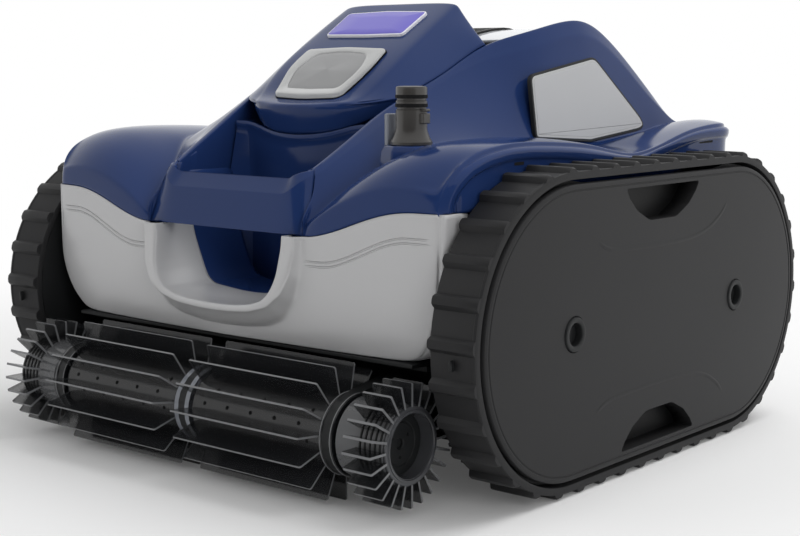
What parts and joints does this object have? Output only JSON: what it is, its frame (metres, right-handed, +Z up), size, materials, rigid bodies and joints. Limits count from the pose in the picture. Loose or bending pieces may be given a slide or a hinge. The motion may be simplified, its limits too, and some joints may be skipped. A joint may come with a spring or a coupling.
{
  "type": "robotic pool cleaner",
  "caption": "Tracked floor-crawling pool cleaner with a front roller brush, hinged filter lid, carry-handle bar and side tracks.",
  "frame": {"origin": "centre of the footprint on the pool floor", "axes": "+X to the side of the cable connector, +Y to the rear, +Z up; the brush is at -Y"},
  "size_m": [0.4, 0.4072, 0.2825],
  "materials": {
    "navy_plastic": "glossy moulded",
    "silver_plastic": "satin metallic-look moulded",
    "dark_plastic": "fine matt",
    "track_rubber": "matt",
    "smoke_plastic": "smoky, slightly see-through",
    "clear_panel": "milky, glossy",
    "frosted_window": "frosted",
    "badge": "plain, unprinted",
    "connector_plastic": "grey-brown moulded",
    "steel": "turned",
    "gear_nylon": "natural nylon"
  },
  "bodies": {
    "chassis": {"chassis_tub": "dark_plastic", "side_frame_right": "dark_plastic", "side_frame_left": "dark_plastic", "track_belt_right": "track_rubber", "track_belt_left": "track_rubber", "front_axle_right": "steel", "front_axle_left": "steel", "rear_axle_right": "steel", "rear_axle_left": "steel", "side_cover_right": "dark_plastic", "side_cover_left": "dark_plastic", "front_cover_bolt_right": "dark_plastic", "front_cover_bolt_left": "dark_plastic", "rear_cover_bolt_right": "dark_plastic", "rear_cover_bolt_left": "dark_plastic", "brush_arm_right": "dark_plastic", "brush_arm_left": "dark_plastic", "brush_arm_center": "dark_plastic", "intake_duct": "dark_plastic", "filter_housing": "navy_plastic", "filter_basket": "frosted_window", "motor_block": "dark_plastic", "pump_duct": "dark_plastic", "upper_shell": "navy_plastic", "front_shell": "silver_plastic", "rear_shell": "silver_plastic", "top_panel": "clear_panel", "outlet_grille": "dark_plastic", "side_window_right": "frosted_window", "side_window_left": "frosted_window", "window_seal_right": "track_rubber", "window_seal_left": "track_rubber", "lid_hinge_pin": "steel", "cable_connector": "connector_plastic", "upper_o_ring": "track_rubber", "lower_o_ring": "track_rubber"},
    "lid": {"lid": "navy_plastic", "lid_window_frame": "silver_plastic", "lid_window_pane": "frosted_window", "badge_plate": "badge"},
    "intake_flap": {"intake_flap": "track_rubber"},
    "impeller": {"impeller": "gear_nylon", "impeller_shaft": "steel"},
    "front_wheel_left": {"front_wheel_left": "dark_plastic"},
    "rear_wheel_left": {"rear_wheel_left": "dark_plastic"},
    "drive_pinion_left": {"drive_pinion_left": "gear_nylon"},
    "brush_layshaft_left": {"brush_layshaft_left": "gear_nylon"},
    "brush_left": {"brush_drum_left": "smoke_plastic", "brush_paddles_left": "smoke_plastic", "brush_head_left": "smoke_plastic", "brush_end_cap_left": "dark_plastic"},
    "front_wheel_right": {"front_wheel_right": "dark_plastic"},
    "rear_wheel_right": {"rear_wheel_right": "dark_plastic"},
    "drive_pinion_right": {"drive_pinion_right": "gear_nylon"},
    "brush_layshaft_right": {"brush_layshaft_right": "gear_nylon"},
    "brush_right": {"brush_drum_right": "smoke_plastic", "brush_paddles_right": "smoke_plastic", "brush_head_right": "smoke_plastic", "brush_end_cap_right": "dark_plastic"}
  },
  "joints": [
    {"name": "lid_hinge", "type": "hinge", "parent": "chassis", "child": "lid", "pos_m": [0, 0.01467, 0.262], "axis": [-1, 0, 0], "range_deg": [0, 95]},
    {"name": "intake_flap_hinge", "type": "hinge", "parent": "chassis", "child": "intake_flap", "pos_m": [0, -0.02733, 0.0998], "axis": [-1, 0, 0], "range_deg": [0, 60]},
    {"name": "impeller_spin", "type": "hinge", "parent": "chassis", "child": "impeller", "pos_m": [0, 0.06034, 0.172], "axis": [0, 0, 1], "continuous": true},
    {"name": "rear_wheel_left_spin", "type": "hinge", "parent": "chassis", "child": "rear_wheel_left", "pos_m": [-0.18, 0.11047, 0.0932], "axis": [1, 0, 0], "continuous": true},
    {"name": "front_wheel_left_spin", "type": "hinge", "parent": "chassis", "child": "front_wheel_left", "pos_m": [-0.18, -0.07833, 0.0932], "axis": [1, 0, 0], "continuous": true},
    {"name": "drive_pinion_left_spin", "type": "hinge", "parent": "chassis", "child": "drive_pinion_left", "pos_m": [-0.14, 0.05634, 0.06195], "axis": [1, 0, 0], "continuous": true},
    {"name": "brush_layshaft_left_spin", "type": "hinge", "parent": "chassis", "child": "brush_layshaft_left", "pos_m": [-0.14, -0.12773, 0.04538], "axis": [1, 0, 0], "continuous": true},
    {"name": "brush_left_spin", "type": "hinge", "parent": "chassis", "child": "brush_left", "pos_m": [-0.06, -0.16473, 0.0393], "axis": [1, 0, 0], "continuous": true},
    {"name": "rear_wheel_right_spin", "type": "hinge", "parent": "chassis", "child": "rear_wheel_right", "pos_m": [0.18, 0.11047, 0.0932], "axis": [1, 0, 0], "continuous": true},
    {"name": "front_wheel_right_spin", "type": "hinge", "parent": "chassis", "child": "front_wheel_right", "pos_m": [0.18, -0.07833, 0.0932], "axis": [1, 0, 0], "continuous": true},
    {"name": "drive_pinion_right_spin", "type": "hinge", "parent": "chassis", "child": "drive_pinion_right", "pos_m": [0.14, 0.05634, 0.06195], "axis": [1, 0, 0], "continuous": true},
    {"name": "brush_layshaft_right_spin", "type": "hinge", "parent": "chassis", "child": "brush_layshaft_right", "pos_m": [0.14, -0.12773, 0.04538], "axis": [1, 0, 0], "continuous": true},
    {"name": "brush_right_spin", "type": "hinge", "parent": "chassis", "child": "brush_right", "pos_m": [0.06, -0.16473, 0.0393], "axis": [1, 0, 0], "continuous": true}
  ],
  "couplings": [
    {"joint": "front_wheel_left_spin", "follows": "rear_wheel_left_spin", "ratio": 1},
    {"joint": "drive_pinion_left_spin", "follows": "rear_wheel_left_spin", "ratio": -4},
    {"joint": "brush_layshaft_left_spin", "follows": "rear_wheel_left_spin", "ratio": -2.6667},
    {"joint": "brush_left_spin", "follows": "rear_wheel_left_spin", "ratio": 2.6667},
    {"joint": "front_wheel_right_spin", "follows": "rear_wheel_right_spin", "ratio": 1},
    {"joint": "drive_pinion_right_spin", "follows": "rear_wheel_right_spin", "ratio": -4},
    {"joint": "brush_layshaft_right_spin", "follows": "rear_wheel_right_spin", "ratio": -2.6667},
    {"joint": "brush_right_spin", "follows": "rear_wheel_right_spin", "ratio": 2.6667}
  ]
}
